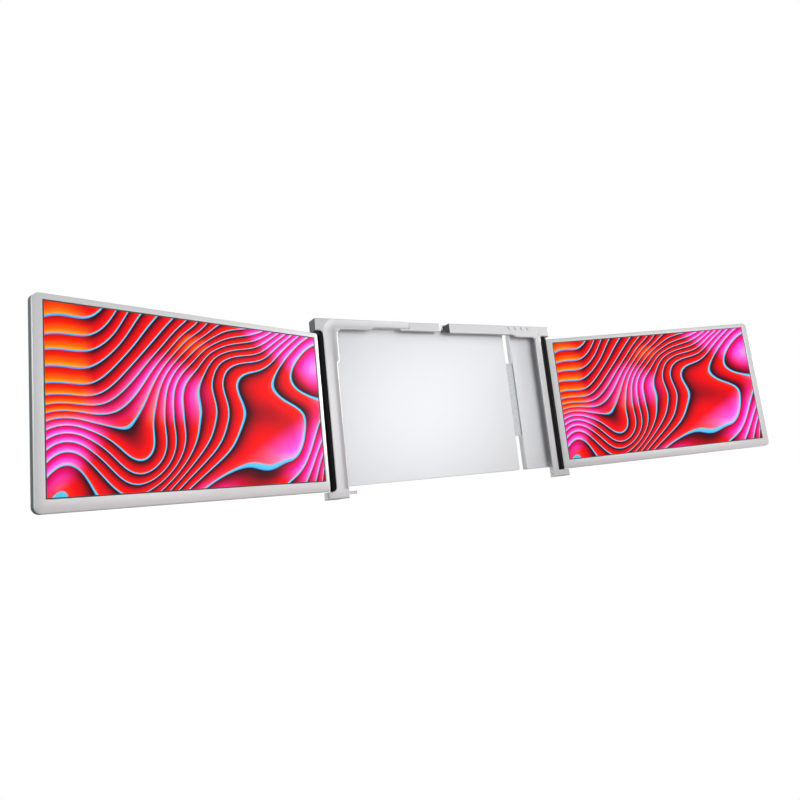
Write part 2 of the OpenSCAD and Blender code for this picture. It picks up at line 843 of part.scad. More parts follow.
module tongue_plate() {
    slot_inset = 12;
    slot_run = 20;
    slot_x = tongue_x + 24;
    slot_pitch = 32;
    seated(steel) difference() {
        block([tongue_x, tongue_y, tongue_z],
            [wall_in - tray_wall - 2, tongue_y + tongue_t, tongue_z + tongue_h]);
        for (p = tongue_screws) y_bar(p.x, p.y, screw_r, tongue_y - 1, frame_d);
        for (x = [slot_x, slot_x + slot_pitch])
            upright(tongue_y - 1, tongue_y + tongue_t + 1)
                round_rect([x, tongue_z + slot_inset], [x + slot_run, tongue_z + tongue_h - slot_inset], 6);
    }
}

module right_back_screws() {
    cover_screw_set(tongue_screws, tongue_y + 0.3);
    cover_screw_set(right_screws, tray_y - screw_bite);
}

module right_lip_pad() {
    seated(rubber) lip_pads(1, right_lip_x);
}

module right_hinge_pins() {
    hinge_pins(1);
}

module right_hinge_washers() {
    hinge_washers(1);
}

// ---- A screen, in its own measures ----

module spine() {
    web_z0 = foot_h + pocket_r + 1;
    web_z1 = min(over_z - pocket_r, screen_z + screen_h) - 1;
    end_play = 0.5;
    difference() {
        union() {
            translate([0, 0, spine_z0]) cylinder(r = spine_r, h = spine_z1 - spine_z0);
            block([0, web_front, web_z0], [screen_off, web_back, web_z1]);
        }
        for (z = [spine_z0 - 1, spine_z1 - pin_in - end_play])
            translate([0, 0, z]) cylinder(r = pin_r + run_gap, h = pin_in + end_play + 1);
        for (z = bracket_zs)
            block([bracket_in, bracket_v, z],
                [screen_off + 1, bracket_v + bracket_t, z + bracket_h]);
    }
}

module hinge_brackets() {
    for (z = bracket_zs) difference() {
        block([bracket_in, bracket_v, z], [bracket_l, bracket_v + bracket_t, z + bracket_h]);
        for (dz = [bracket_hole_in, bracket_h - bracket_hole_in])
            y_bar(bracket_l - bracket_hole_in, z + dz, bracket_hole_r, rim_v, back_v);
    }
}

module screen_outline(inset, reach = 0) {
    u0 = screen_off - reach + inset;
    u1 = screen_off + screen_w - inset;
    z0 = screen_z + inset;
    z1 = screen_z + screen_h - inset;
    r0 = hinge_corner_r - inset;
    r1 = screen_r - inset;
    rect([u0 + r0, z0], [u1 - r1, z1]);
    rect([u0, z0 + r0], [u0 + r0, z1 - r0]);
    rect([u1 - r1, z0 + r1], [u1, z1 - r1]);
    for (z = [z0 + r0, z1 - r0])
        translate([u0 + r0, z]) circle(r0);
    for (z = [z0 + r1, z1 - r1])
        translate([u1 - r1, z]) circle(r1);
}

module picture(grow) {
    rect([display_u - grow, display_z - grow],
        [display_u + display_w + grow, display_z + display_h + grow]);
}

module bezel(reach) {
    upright(front_v, rim_v) difference() {
        screen_outline(0, reach);
        picture(gasket_w);
    }
}

module gasket() {
    gasket_in = 0.15;
    upright(front_v + gasket_in, rim_v) difference() {
        picture(gasket_w);
        picture(0);
    }
}

module display_panel() {
    upright(rim_v - glass_t, rim_v + eps) picture(0);
    upright(rim_v, rim_v + module_t) picture(flange_grow);
}

module backlight() {
    upright(light_v, light_v + light_t) picture(light_grow);
}

module driver_board() {
    driver_w = 110;
    driver_h = 18;
    driver_t = 0.6;
    chip_w = 10;
    chip_t = 0.4;
    chip_pitch = 34;
    u0 = display_u + 40;
    block([u0, bracket_v, display_z], [u0 + driver_w, bracket_v + driver_t, display_z + driver_h]);
    for (i = [0:2])
        translate([u0 + 15 + i * chip_pitch, bracket_v + driver_t - eps, display_z + 4])
            cube([chip_w, chip_t, chip_w]);
}

// Places of the screws that close a screen, clear of the display's flange
boss_z0 = screen_z + screen_boss_in;
boss_z1 = screen_z + screen_h - (bezel_top - flange_grow + shell_t) / 2;
screen_bosses = [for (u = [screen_boss_in, screen_w / 2, screen_w - screen_boss_in])
    for (z = [boss_z0, boss_z1]) [screen_off + u, z]];

module rear_cover() {
    difference() {
        union() {
            upright(back_v - shell_t, back_v) screen_outline(0);
            upright(rim_v, back_v - shell_t + eps) difference() {
                screen_outline(0);
                screen_outline(shell_t);
            }
            for (p = screen_bosses) y_bar(p.x, p.y, screen_boss_r, rim_v, back_v - eps);
        }
        for (p = screen_bosses) {
            y_bar(p.x, p.y, screen_screw_r, rim_v - 1, back_v + 1);
            y_bar(p.x, p.y, screen_head_r, back_v - screen_head_t, back_v + 1);
        }
        for (z = bracket_zs)
            block([screen_off - 1, bracket_v, z],
                [screen_off + shell_t + slide_gap, bracket_v + bracket_t, z + bracket_h]);
    }
}

module screen_screws() {
    for (p = screen_bosses) difference() {
        union() {
            y_bar(p.x, p.y, screen_screw_r, rim_v + 0.4, back_v - 0.4);
            y_bar(p.x, p.y, screen_head_r, back_v - screen_head_t, back_v - 0.1);
        }
        cross_slot(p, 1.8, 0.4, back_v - 0.5);
    }
}

module left_spine() {
    on_hinge(-1, left_angle, black) spine();
}

module left_hinge_brackets() {
    on_hinge(-1, left_angle, steel) hinge_brackets();
}

module left_bezel() {
    on_hinge(-1, left_angle, silver) bezel(0);
}

module left_gasket() {
    on_hinge(-1, left_angle, "#3E4A48") gasket();
}

module left_display_panel() {
    on_hinge(-1, left_angle, "#C2183A") display_panel();
}

module left_backlight() {
    on_hinge(-1, left_angle, "#F2F2EC") backlight();
}

module left_driver_board() {
    on_hinge(-1, left_angle, board_green) driver_board();
}

module left_rear_cover() {
    on_hinge(-1, left_angle, silver) rear_cover();
}

module left_screen_screws() {
    on_hinge(-1, left_angle, steel) screen_screws();
}

module right_spine() {
    on_hinge(1, right_angle, black) difference() {
        spine();
        block([screen_off - right_bezel_reach - run_gap, -spine_r - 1, screen_z - run_gap],
            [screen_off + 1, rim_v, screen_z + screen_h + run_gap]);
    }
}

module right_hinge_brackets() {
    on_hinge(1, right_angle, steel) hinge_brackets();
}

module right_bezel() {
    on_hinge(1, right_angle, silver) bezel(right_bezel_reach);
}

module right_gasket() {
    on_hinge(1, right_angle, "#3E4A48") gasket();
}

module right_display_panel() {
    on_hinge(1, right_angle, "#C2183A") display_panel();
}

module right_backlight() {
    on_hinge(1, right_angle, "#F2F2EC") backlight();
}

module right_driver_board() {
    on_hinge(1, right_angle, board_green) driver_board();
}

module right_rear_cover() {
    on_hinge(1, right_angle, silver) rear_cover();
}

module right_screen_screws() {
    on_hinge(1, right_angle, steel) screen_screws();
}

// ---- Kickstand ----

stand_x0 = stand_x - stand_w / 2 + stand_gap;
stand_x1 = stand_x + stand_w / 2 - stand_gap;
stand_foot_z = stand_z - stand_l + stand_gap;
notch_r = 9;

// The two rubber strips in the kickstand's lower edge
module foot_strips() {
    strip_in = 10;
    strip_gap = 6;
    strip_half = 1;
    strip_out = 0.3;
    strip_sunk = 1.6;
    strip_l = stand_w / 2 - notch_r - strip_gap - strip_in;
    for (x = [stand_x0 + strip_in, stand_x + notch_r + strip_gap])
        block([x, stand_y - strip_half, stand_foot_z - strip_out],
            [x + strip_l, stand_y + strip_half, stand_foot_z + strip_sunk]);
}

module kickstand() {
    seated(silver) difference() {
        union() {
            block([stand_x0, stand_y - stand_t / 2, stand_foot_z],
                [stand_x1, stand_y + stand_t / 2, stand_z]);
            x_bar(stand_x0, stand_x1, stand_y, stand_z, stand_t / 2);
        }
        y_bar(stand_x, stand_foot_z, notch_r, 0, frame_d + 1);
        foot_strips();
        x_bar(stand_x0 - 1, stand_x0 + stand_pin_in, stand_y, stand_z, stand_pin_r);
        x_bar(stand_x1 - stand_pin_in, stand_x1 + 1, stand_y, stand_z, stand_pin_r);
    }
}

module kickstand_pins() {
    pin_out = stand_gap + stand_pin_out - 0.4;
    seated(steel) {
        x_bar(stand_x0 - pin_out, stand_x0 + stand_pin_in, stand_y, stand_z, stand_pin_r);
        x_bar(stand_x1 - stand_pin_in, stand_x1 + pin_out, stand_y, stand_z, stand_pin_r);
    }
}

module kickstand_foot() {
    seated(rubber) foot_strips();
}

// ---- Lid clips ----

module clip(lip_x, out) {
    y0 = clip_y0 + run_gap;
    tip_x = lip_x - out;
    grip_in = 0.3;
    grip_w = 1.2;
    grip_t = 0.7;
    block([tip_x, y0, clip_z], [tip_x + clip_l, lip_t - run_gap, clip_z + clip_h]);
    block([tip_x + grip_in, y0 - grip_t, clip_z],
        [tip_x + grip_in + grip_w, y0 + eps, clip_z + clip_h]);
}

module clip_pad(lip_x, out) {
    tip_x = lip_x - out;
    pad_in = 0.3;
    pad_t = 0.5;
    block([tip_x + pad_in, lip_t - run_gap, clip_z + pad_in],
        [tip_x + min(out, 7), lip_t + pad_t, clip_z + clip_h - pad_in]);
}

module left_clip() {
    seated(silver) mirror([1, 0, 0]) clip(left_lip_x, left_clip_out);
}

module left_clip_pad() {
    seated(rubber) mirror([1, 0, 0]) clip_pad(left_lip_x, left_clip_out);
}

module right_clip() {
    seated(silver) clip(right_lip_x, right_clip_out);
}

module right_clip_pad() {
    seated(rubber) clip_pad(right_lip_x, right_clip_out);
}

left_frame();
left_bar_cover();
top_rail();
rail_lip();
rail_slider();
left_lip_pad();
left_hinge_pins();
left_hinge_washers();
seat_plate();
back_cover();
main_board();
usb_c_ports();
button_board();
back_cover_screws();
power_button();
plus_button();
minus_button();
right_sleeve();
sleeve_collar();
right_end_cap();
right_column();
indicator_windows();
right_seat_plate();
right_back_cover();
tongue_plate();
right_back_screws();
right_lip_pad();
right_hinge_pins();
right_hinge_washers();
left_spine();
left_hinge_brackets();
left_bezel();
left_gasket();
left_display_panel();
left_backlight();
left_driver_board();
left_rear_cover();
left_screen_screws();
right_spine();
right_hinge_brackets();
right_bezel();
right_gasket();
right_display_panel();
right_backlight();
right_driver_board();
right_rear_cover();
right_screen_screws();
kickstand();
kickstand_pins();
kickstand_foot();
left_clip();
left_clip_pad();
right_clip();
right_clip_pad();
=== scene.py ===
"""Looks of the laptop screen extender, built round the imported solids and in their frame, in metres."""
import json
import math

import bmesh
import bpy
import numpy as np
from mathutils import Matrix, Vector
from mathutils.bvhtree import BVHTree


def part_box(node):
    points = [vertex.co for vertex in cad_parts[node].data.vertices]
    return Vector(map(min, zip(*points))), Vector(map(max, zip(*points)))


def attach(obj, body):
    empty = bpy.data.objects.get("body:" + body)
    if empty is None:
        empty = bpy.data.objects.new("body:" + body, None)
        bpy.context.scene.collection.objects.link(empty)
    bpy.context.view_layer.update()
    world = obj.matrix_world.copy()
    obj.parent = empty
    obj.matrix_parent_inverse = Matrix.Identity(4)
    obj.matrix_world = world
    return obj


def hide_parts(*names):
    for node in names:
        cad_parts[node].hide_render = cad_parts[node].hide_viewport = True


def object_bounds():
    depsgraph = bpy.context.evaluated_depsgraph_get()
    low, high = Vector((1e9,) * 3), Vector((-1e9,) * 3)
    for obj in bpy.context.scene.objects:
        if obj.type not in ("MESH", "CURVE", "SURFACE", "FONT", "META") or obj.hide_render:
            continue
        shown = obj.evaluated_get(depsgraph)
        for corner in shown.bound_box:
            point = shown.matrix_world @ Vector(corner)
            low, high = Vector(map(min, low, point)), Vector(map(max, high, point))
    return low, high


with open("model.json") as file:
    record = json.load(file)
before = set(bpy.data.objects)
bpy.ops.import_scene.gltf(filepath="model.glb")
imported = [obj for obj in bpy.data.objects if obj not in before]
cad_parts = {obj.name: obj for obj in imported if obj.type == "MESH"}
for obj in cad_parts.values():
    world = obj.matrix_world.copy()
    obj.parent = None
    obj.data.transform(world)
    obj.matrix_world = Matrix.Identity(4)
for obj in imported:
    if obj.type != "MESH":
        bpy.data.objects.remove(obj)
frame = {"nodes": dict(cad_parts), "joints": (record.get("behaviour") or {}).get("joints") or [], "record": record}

cad_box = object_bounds()
scene = bpy.context.scene
scene.view_settings.view_transform = "Standard"

# ---- Camera ----
# A 32 mm lens low on the left, tilted up and rolled a little, because the lid that the frame
# hangs on leans back while the frame is modelled upright.
CAMERA_AT = Vector((-0.4757, -0.7727, -0.1296))
CAMERA_LENS = 32.006
CAMERA_SENSOR = 36.0
CAMERA_SHIFT = (-0.0627, -0.0280)
CAMERA_REACH = (0.01, 50.0)
CAMERA_AZIMUTH = math.radians(32.04)
CAMERA_UP_TILT = math.radians(10.11)
CAMERA_ROLL = math.radians(6.85)

lens = bpy.data.cameras.new("camera")
lens.sensor_width = CAMERA_SENSOR
lens.lens = CAMERA_LENS
lens.shift_x, lens.shift_y = CAMERA_SHIFT
lens.clip_start, lens.clip_end = CAMERA_REACH
camera = bpy.data.objects.new("camera", lens)
ahead = Vector((math.sin(CAMERA_AZIMUTH) * math.cos(CAMERA_UP_TILT),
                math.cos(CAMERA_AZIMUTH) * math.cos(CAMERA_UP_TILT),
                math.sin(CAMERA_UP_TILT)))
level_right = Vector((math.cos(CAMERA_AZIMUTH), -math.sin(CAMERA_AZIMUTH), 0.0))
level_down = ahead.cross(level_right)
right = math.cos(CAMERA_ROLL) * level_right + math.sin(CAMERA_ROLL) * level_down
up = math.sin(CAMERA_ROLL) * level_right - math.cos(CAMERA_ROLL) * level_down
camera.matrix_world = Matrix((right, up, -ahead)).transposed().to_4x4()
camera.location = CAMERA_AT
scene.collection.objects.link(camera)
scene.camera = camera


# ---- Light, floor and backdrop ----
# A near soft box in front, a strong one far right that grazes the front and shows its relief, a
# small one on the left for bright edges, one behind, and a dim surround. The floor is matt pale
# card just under the feet, and it is there from above only.
def linear(hex_colour):
    """The linear colour of an sRGB hex value, with alpha 1."""
    srgb = [int(hex_colour[i:i + 2], 16) / 255 for i in (1, 3, 5)]
    return (*[c / 12.92 if c <= 0.04045 else ((c + 0.055) / 1.055) ** 2.4 for c in srgb], 1.0)


def add_node(tree, kind, inputs=None, **settings):
    """Adds a node. Settings are its properties, or values of inputs by name. Inputs, by name or
    number, are fed from a socket or get a value."""
    node = tree.nodes.new(kind)
    for key, value in settings.items():
        if hasattr(node, key):
            setattr(node, key, value)
    for key, value in settings.items():
        if not hasattr(node, key):
            node.inputs[key.replace("_", " ")].default_value = value
    for key, value in (inputs or {}).items():
        if isinstance(value, bpy.types.NodeSocket):
            tree.links.new(value, node.inputs[key])
        else:
            node.inputs[key].default_value = value
    return node


SURROUND_LEFT, SURROUND_RIGHT = 0.17, 0.30

world = bpy.data.worlds.new("surround")
world.use_nodes = True
scene.world = world
tree = world.node_tree
tree.nodes.clear()
path = add_node(tree, "ShaderNodeLightPath")
seen = add_node(tree, "ShaderNodeMath", {0: path.outputs["Is Camera Ray"],
                                         1: path.outputs["Is Glossy Ray"]}, operation="MAXIMUM")
seen = add_node(tree, "ShaderNodeMath", {0: seen.outputs[0],
                                         1: path.outputs["Is Transmission Ray"]}, operation="MAXIMUM")
direction = add_node(tree, "ShaderNodeTexCoord")
sides = add_node(tree, "ShaderNodeSeparateXYZ", {0: direction.outputs["Generated"]})
level = add_node(tree, "ShaderNodeMapRange", {0: sides.outputs["X"]}, From_Min=-1.0, From_Max=1.0,
                 To_Min=SURROUND_LEFT, To_Max=SURROUND_RIGHT)
soft_light = add_node(tree, "ShaderNodeBackground", {"Strength": level.outputs[0]}, Color=linear("#FFFFFF"))
white_paper = add_node(tree, "ShaderNodeBackground", Color=linear("#FFFFFF"))
either = add_node(tree, "ShaderNodeMixShader", {0: seen.outputs[0], 1: soft_light.outputs[0],
                                                2: white_paper.outputs[0]})
add_node(tree, "ShaderNodeOutputWorld", {"Surface": either.outputs[0]})


def soft_box(name, at, towards, size, watts):
    """A square area lamp at a point, turned towards another."""
    lamp = bpy.data.lights.new(name, "AREA")
    lamp.size = size
    lamp.energy = watts
    holder = bpy.data.objects.new(name, lamp)
    holder.location = at
    holder.rotation_euler = (Vector(towards) - Vector(at)).to_track_quat("-Z", "Y").to_euler()
    scene.collection.objects.link(holder)


LID_MIDDLE = (0.0, 0.0, 0.0)
soft_box("key_light", at=(0.32, -0.72, 0.05), towards=(0.1, 0.0, 0.0), size=0.4, watts=1.3)
soft_box("side_light", at=(1.75, -0.35, 0.35), towards=LID_MIDDLE, size=0.6, watts=25.0)
soft_box("rim_light", at=(-1.75, -0.50, 0.35), towards=LID_MIDDLE, size=0.3, watts=7.0)
soft_box("back_light", at=(-0.2, 1.5, 0.8), towards=LID_MIDDLE, size=1.2, watts=11.0)

FLOOR_DROP = 0.0006
FLOOR_HALF = 6.0
FLOOR_GLOW = 0.7

floor_z = cad_box[0].z - FLOOR_DROP
floor_corners = [(x * FLOOR_HALF, y * FLOOR_HALF, floor_z) for x, y in ((-1, -1), (1, -1), (1, 1), (-1, 1))]
floor_mesh = bpy.data.meshes.new("floor")
floor_mesh.from_pydata(floor_corners, [], [(0, 1, 2, 3)])
floor = bpy.data.objects.new("floor", floor_mesh)
scene.collection.objects.link(floor)

# Uncoated white card: dull and even. To the camera it glows a little, so that it reads as white
# and keeps the shadow.
pale_card = bpy.data.materials.new("pale_card")
pale_card.use_nodes = True
tree = pale_card.node_tree
tree.nodes.clear()
matt = add_node(tree, "ShaderNodeBsdfDiffuse", Color=linear("#F4F4F3"))
glow = add_node(tree, "ShaderNodeEmission", Color=linear("#FFFFFF"), Strength=FLOOR_GLOW)
lit = add_node(tree, "ShaderNodeAddShader", {0: matt.outputs[0], 1: glow.outputs[0]})
path = add_node(tree, "ShaderNodeLightPath")
lit_or_matt = add_node(tree, "ShaderNodeMixShader", {0: path.outputs["Is Camera Ray"], 1: matt.outputs[0],
                                                     2: lit.outputs[0]})
clear = add_node(tree, "ShaderNodeBsdfTransparent")
side_of = add_node(tree, "ShaderNodeNewGeometry")
one_sided = add_node(tree, "ShaderNodeMixShader", {0: side_of.outputs["Backfacing"],
                                                   1: lit_or_matt.outputs[0], 2: clear.outputs[0]})
add_node(tree, "ShaderNodeOutputMaterial", {"Surface": one_sided.outputs[0]})
floor_mesh.materials.append(pale_card)


# ---- The bezels ----
# Each screen's front frame, injection moulded in ABS and sprayed a satin silver. Its outer edge
# is rounded and its inner edge has a fine chamfer down to the gasket.

# A Mix node's colour sockets, by number, because its number and vector sockets have the same names.
MIX_A, MIX_B, MIX_OUT = 6, 7, 2


def finish(name, colours, size_mm, roughness, spread, bump_mm, stretch=(1.0, 1.0, 1.0), **shader):
    """A material for a whole piece. Noise in the piece's own space, with features of a real size that
    stretch draws out along an axis, mixes two near colours, moves the roughness by up to the spread,
    and bumps the surface."""
    material = bpy.data.materials.new(name)
    material.use_nodes = True
    tree = material.node_tree
    tree.nodes.clear()
    own = add_node(tree, "ShaderNodeTexCoord").outputs["Object"]
    scaled = add_node(tree, "ShaderNodeMapping", {0: own},
                      Scale=[1000.0 / (size_mm * longer) for longer in stretch]).outputs[0]
    noise = add_node(tree, "ShaderNodeTexNoise", {0: scaled}, Scale=1.0, Detail=2.0).outputs["Fac"]
    colour = add_node(tree, "ShaderNodeMix", {"Factor": noise, MIX_A: linear(colours[0]),
                                              MIX_B: linear(colours[1])}, data_type="RGBA")
    gloss = add_node(tree, "ShaderNodeMapRange", {0: noise}, From_Min=0.3, From_Max=0.7,
                     To_Min=roughness - spread, To_Max=roughness + spread)
    relief = add_node(tree, "ShaderNodeBump", {"Height": noise}, Strength=1.0, Distance=bump_mm / 1000)
    shade = add_node(tree, "ShaderNodeBsdfPrincipled", {"Base Color": colour.outputs[MIX_OUT],
                                                        "Roughness": gloss.outputs[0],
                                                        "Normal": relief.outputs[0]}, **shader)
    add_node(tree, "ShaderNodeOutputMaterial", {"Surface": shade.outputs[0]})
    return material


# Satin silver spray on moulded ABS: mica flakes about 0.1 mm across, drawn at 0.5 mm to show,
# give a faint sparkle and an almost even sheen.
silver_paint = finish("silver_sprayed_abs", ("#D2D4D6", "#DEDFE0"), size_mm=0.5, roughness=0.38,
                      spread=0.05, bump_mm=0.003, Metallic=0.2, Coat_Weight=0.5, Coat_Roughness=0.12)

SMALLEST_R = 1e-5
CORNER_RS = (0.0025, 0.0065)    # at the hinge, at the far end
WINDOW_RS = (0.0004, 0.0004)
EDGE_R = 0.0008
CHAMFER = 0.0004
CREASE = math.radians(35.0)


def rounded_loop(lo, hi, near_r, far_r, per_corner=10):
    """Points round a rectangle, counter-clockwise: each corner is a quarter circle, centre + r (cos a,
    sin a), with one radius at the low side and one at the high side of the first axis."""
    turns = np.linspace(0.0, math.pi / 2, per_corner)
    angles = (np.arange(4)[:, None] * math.pi / 2 + turns).ravel()
    signs = np.repeat([(1, 1), (-1, 1), (-1, -1), (1, -1)], per_corner, axis=0)
    radii = np.where(signs[:, :1] > 0, far_r, near_r)
    middle, half = np.add(lo, hi) / 2, np.subtract(hi, lo) / 2
    return middle + signs * (half - radii) + radii * np.stack([np.cos(angles), np.sin(angles)], 1)


def loft(name, loops, closed, place=np.asarray):
    """A surface through equal loops of points, on a grid of loop by point; closed joins the last loop to
    the first, and otherwise both ends get a flat cap, the last loop's last."""
    loops = np.asarray(loops)
    rows, columns = loops.shape[:2]
    points = place(loops.reshape(-1, 3))
    row = np.arange(rows if closed else rows - 1)[:, None]
    column = np.arange(columns)[None, :]
    beside = (column + 1) % columns
    here, above = row * columns, (row + 1) % rows * columns
    quads = np.stack([here + column, here + beside, above + beside, above + column], -1)
    faces = quads.reshape(-1, 4).tolist()
    if not closed:
        faces += [list(range(columns - 1, -1, -1)), list(range((rows - 1) * columns, rows * columns))]
    mesh = bpy.data.meshes.new(name)
    mesh.from_pydata(points.tolist(), [], faces)
    shell = bmesh.new()
    shell.from_mesh(mesh)
    bmesh.ops.recalc_face_normals(shell, faces=shell.faces)
    shell.to_mesh(mesh)
    shell.free()
    piece = bpy.data.objects.new(name, mesh)
    scene.collection.objects.link(piece)
    return piece


def smooth_by_angle(piece):
    """Smooth shading, with every edge sharper than a crease kept sharp."""
    piece.data.shade_smooth()
    piece.data.set_sharp_from_angle(angle=CREASE)


body_of = {node: body for body, nodes in frame["record"]["behaviour"]["bodies"].items() for node in nodes}


def stand_in(piece, node, *materials):
    """Puts a finished piece in a node's place: same body, its own materials, and the node hidden."""
    for material in materials:
        piece.data.materials.append(material)
    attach(piece, body_of[node])
    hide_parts(node)


class Screen:
    """A screen's own directions: along its width from the hinge, through it to the back, and up."""

    def __init__(self, side):
        joint = next(j for j in frame["joints"] if j["name"] == side + "_screen_hinge")
        self.hinge = np.array(joint["pos_m"])
        co = np.array([v.co for v in frame["nodes"][side + "_display_panel"].data.vertices])
        flat = co[:, :2] - co[:, :2].mean(0)
        along = np.linalg.svd(flat, full_matrices=False)[2][0]
        along *= np.sign(along @ (co[:, :2].mean(0) - self.hinge[:2]))
        back = np.array([-along[1], along[0]])
        back *= np.sign(back[1])
        self.axes = np.array([[*along, 0.0], [*back, 0.0], [0.0, 0.0, 1.0]])

    def place(self, points):
        """From the screen's own measures to the frame's."""
        return self.hinge + np.asarray(points) @ self.axes

    def box(self, node):
        """A node's lowest and highest corners in the screen's own measures."""
        co = np.array([v.co for v in frame["nodes"][node].data.vertices])
        local = (co - self.hinge) @ self.axes.T
        return local.min(0), local.max(0)

    def loop(self, lo, hi, radii, inset, depth):
        """A rounded rectangle in along and up, drawn in by an inset, at a depth through the screen."""
        near_r, far_r = (max(radius - inset, SMALLEST_R) for radius in radii)
        flat = rounded_loop((lo[0] + inset, lo[2] + inset), (hi[0] - inset, hi[2] - inset), near_r, far_r)
        return np.stack([flat[:, 0], np.full(len(flat), depth), flat[:, 1]], 1)


def quarter(radius, steps=5):
    """Insets r (1 - cos t) and depths r (1 - sin t) along a quarter round, from the side to the face."""
    turn = np.linspace(0.0, math.pi / 2, steps)
    return radius * (1 - np.cos(turn)), radius * (1 - np.sin(turn))


screens = {side: Screen(side) for side in ("left", "right")}
for side, screen in screens.items():
    lo, hi = screen.box(side + "_bezel")
    hole_lo, hole_hi = screen.box(side + "_gasket")
    loops = [screen.loop(lo, hi, CORNER_RS, 0.0, hi[1])]
    for inset, depth in zip(*quarter(EDGE_R)):
        loops.append(screen.loop(lo, hi, CORNER_RS, inset, lo[1] + depth))
    loops += [screen.loop(hole_lo, hole_hi, WINDOW_RS, -CHAMFER, lo[1]),
              screen.loop(hole_lo, hole_hi, WINDOW_RS, 0.0, lo[1] + CHAMFER),
              screen.loop(hole_lo, hole_hi, WINDOW_RS, 0.0, hi[1])]
    bezel = loft(side + "_bezel_moulding", loops, True, screen.place)
    smooth_by_angle(bezel)
    stand_in(bezel, side + "_bezel", silver_paint)


# ---- The gaskets ----
# A die-cut strip of dark foam between glass and bezel, a little below both, which closes the
# joint against dust.

# Closed-cell foam with cells of about 0.6 mm: dull and slightly uneven.
foam = finish("die_cut_foam", ("#34413F", "#46544F"), size_mm=0.6, roughness=0.85, spread=0.05,
              bump_mm=0.02)

STRIP_WIDTH = 0.0009
STRIP_R = 0.0002

for side, screen in screens.items():
    lo, hi = screen.box(side + "_gasket")
    loops = [screen.loop(lo, hi, WINDOW_RS, 0.0, hi[1]),
             screen.loop(lo, hi, WINDOW_RS, 0.0, lo[1] + STRIP_R),
             screen.loop(lo, hi, WINDOW_RS, STRIP_R, lo[1]),
             screen.loop(lo, hi, WINDOW_RS, STRIP_WIDTH - STRIP_R, lo[1]),
             screen.loop(lo, hi, WINDOW_RS, STRIP_WIDTH, lo[1] + STRIP_R),
             screen.loop(lo, hi, WINDOW_RS, STRIP_WIDTH, hi[1])]
    strip = loft(side + "_gasket_strip", loops, True, screen.place)
    smooth_by_angle(strip)
    stand_in(strip, side + "_gasket", foam)


# ---- The display panels ----
# A thin display module behind anti-glare glass. It is lit and shows a made-up picture: layered
# waves in red, pink and orange, each with a thin light-blue edge over the shadow of the next.

# Rolled and stamped tin plate on the module's sides and back: bright, with a soft waviness.
module_tin = finish("stamped_tin_module", ("#8E9194", "#9CA0A3"), size_mm=1.5, roughness=0.35, spread=0.06,
                    bump_mm=0.003, Metallic=1.0)

# Sizes in the picture are shares of its height. Noise bends the picture's plane, and the waves are
# the whole steps of a slope over it, which a slower noise sets drifting.
BEND_SIZE, BEND = 0.62, 0.9
DRIFT_SIZE, DRIFT = 1.3, 9.0
WAVES_UP, WAVES_ALONG = 9.0, -6.0
PINK_SIZE, PINK_FROM, PINK_TO = 0.75, 0.48, 0.62
ORANGE_SIZE, ORANGE_FROM, ORANGE_TO = 0.9, 0.54, 0.66
GLASS_CHAMFER = 0.0001

# Each wave's colours, from its lit edge to the shadow under the next.
WAVE_COLOURS = {
    "red": [(0.0, "#2458C8"), (0.03, "#50C8F0"), (0.09, "#58D4F4"), (0.12, "#FF3020"),
            (0.30, "#FF0808"), (0.60, "#C80014"), (0.86, "#500012"), (1.0, "#14000A")],
    "pink": [(0.0, "#3A80F0"), (0.03, "#58C8F8"), (0.09, "#70DCFF"), (0.12, "#FFB0F8"),
             (0.30, "#FF60E8"), (0.62, "#FF10A0"), (0.85, "#E80048"), (1.0, "#900020")],
    "orange": [(0.0, "#3A68E8"), (0.03, "#5098F0"), (0.09, "#5CB8F0"), (0.12, "#FFA818"),
               (0.34, "#FF6A00"), (0.70, "#FF1E00"), (1.0, "#C80800")],
}

# A lit liquid-crystal display under glass etched matt: it shines evenly and hardly mirrors.
lit_picture = bpy.data.materials.new("lit_display_behind_glass")
lit_picture.use_nodes = True
tree = lit_picture.node_tree
tree.nodes.clear()
flat_uv = add_node(tree, "ShaderNodeUVMap", uv_map="picture").outputs[0]
bend = add_node(tree, "ShaderNodeTexNoise", {0: flat_uv}, noise_dimensions="2D", Scale=1 / BEND_SIZE,
                Detail=0.0)
centred = add_node(tree, "ShaderNodeVectorMath", {0: bend.outputs["Color"], 1: (0.5, 0.5, 0.5)},
                   operation="SUBTRACT")
bent_uv = add_node(tree, "ShaderNodeVectorMath", {0: centred.outputs[0], 1: (BEND, BEND, 0.0), 2: flat_uv},
                   operation="MULTIPLY_ADD").outputs[0]
drift = add_node(tree, "ShaderNodeTexNoise", {0: bent_uv}, noise_dimensions="2D", Scale=1 / DRIFT_SIZE,
                 Detail=0.0)
along_up = add_node(tree, "ShaderNodeSeparateXYZ", {0: bent_uv})
slope = add_node(tree, "ShaderNodeMath", {0: along_up.outputs[0], 1: WAVES_ALONG}, operation="MULTIPLY")
slope = add_node(tree, "ShaderNodeMath", {0: along_up.outputs[1], 1: WAVES_UP, 2: slope.outputs[0]},
                 operation="MULTIPLY_ADD")
slope = add_node(tree, "ShaderNodeMath", {0: drift.outputs["Fac"], 1: DRIFT, 2: slope.outputs[0]},
                 operation="MULTIPLY_ADD")
in_wave = add_node(tree, "ShaderNodeMath", {0: slope.outputs[0]}, operation="FRACT")
waves = {}
for colour, stops in WAVE_COLOURS.items():
    ramp = add_node(tree, "ShaderNodeValToRGB", {0: in_wave.outputs[0]})
    while len(ramp.color_ramp.elements) < len(stops):
        ramp.color_ramp.elements.new(0.5)
    for element, (place, hex_colour) in zip(ramp.color_ramp.elements, stops):
        element.position = place
        element.color = linear(hex_colour)
    waves[colour] = ramp.outputs[0]
picture = waves["red"]
